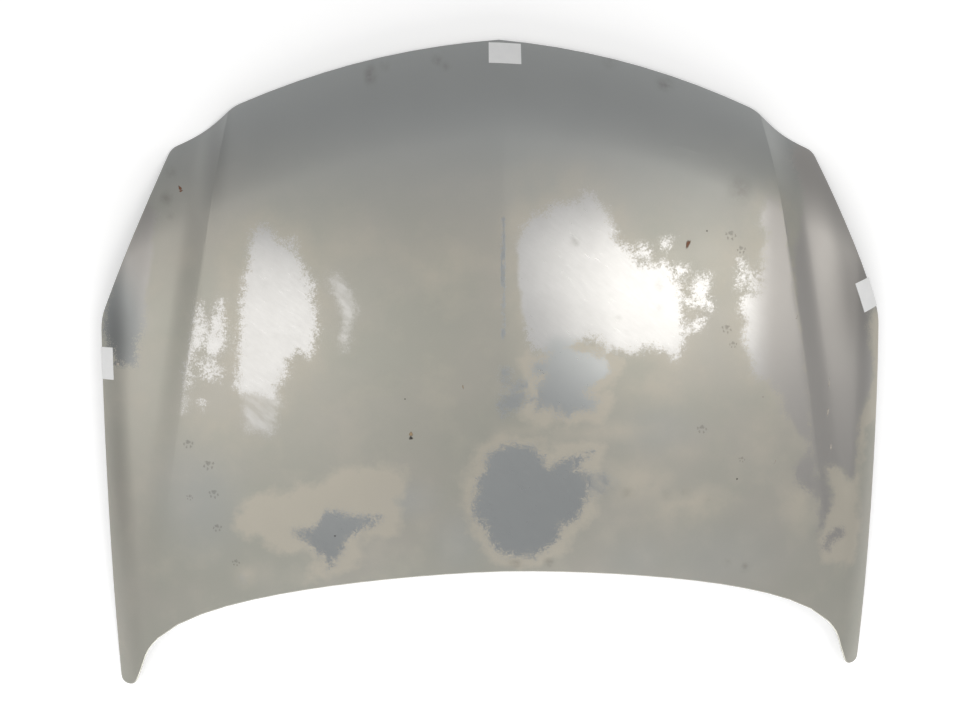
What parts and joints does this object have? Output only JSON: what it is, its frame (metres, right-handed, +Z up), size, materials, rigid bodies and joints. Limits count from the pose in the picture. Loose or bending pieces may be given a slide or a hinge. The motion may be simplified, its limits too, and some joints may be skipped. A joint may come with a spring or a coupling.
{
  "type": "car bonnet",
  "caption": "Pressed steel car bonnet with a hemmed crowned outer skin, creased sides and rear horns over a windowed inner frame.",
  "frame": {"origin": "centre of the panel's plan box, on the floor it lies on", "axes": "+X to the right seen from above with the nose at the top, +Y towards the nose, +Z up out of the outer face"},
  "size_m": [1.4508, 1.1988, 0.1512],
  "materials": {
    "worn_paint": "dull beige grey paint worn to satin silver patches",
    "frame_primer": "matt grey primer",
    "zinc_plate": "zinc plated",
    "stop_rubber": "black rubber",
    "socket_plastic": "black moulded plastic",
    "mastic": "soft off-white mastic"
  },
  "bodies": {
    "root": {"outer_skin": "worn_paint", "inner_frame": "frame_primer", "latch_reinforcement": "frame_primer", "hinge_reinforcement_left": "frame_primer", "hinge_reinforcement_right": "frame_primer", "striker_plate": "zinc_plate", "striker_loop": "zinc_plate", "striker_bolt_left": "zinc_plate", "striker_bolt_right": "zinc_plate", "latch_weld_nut_left": "zinc_plate", "latch_weld_nut_right": "zinc_plate", "hinge_weld_nut_left_front": "zinc_plate", "hinge_weld_nut_left_rear": "zinc_plate", "hinge_weld_nut_right_front": "zinc_plate", "hinge_weld_nut_right_rear": "zinc_plate", "bump_stop_front_left": "stop_rubber", "bump_stop_front_right": "stop_rubber", "bump_stop_side_left": "stop_rubber", "bump_stop_side_right": "stop_rubber", "prop_rod_socket": "socket_plastic", "mastic_dab_01": "mastic", "mastic_dab_02": "mastic", "mastic_dab_03": "mastic", "mastic_dab_04": "mastic", "mastic_dab_05": "mastic", "mastic_dab_06": "mastic", "mastic_dab_07": "mastic", "mastic_dab_08": "mastic", "mastic_dab_09": "mastic", "mastic_dab_10": "mastic", "mastic_dab_11": "mastic", "mastic_dab_12": "mastic", "mastic_dab_13": "mastic", "mastic_dab_14": "mastic", "mastic_dab_15": "mastic", "mastic_dab_16": "mastic", "mastic_dab_17": "mastic", "mastic_dab_18": "mastic"}
  },
  "joints": []
}
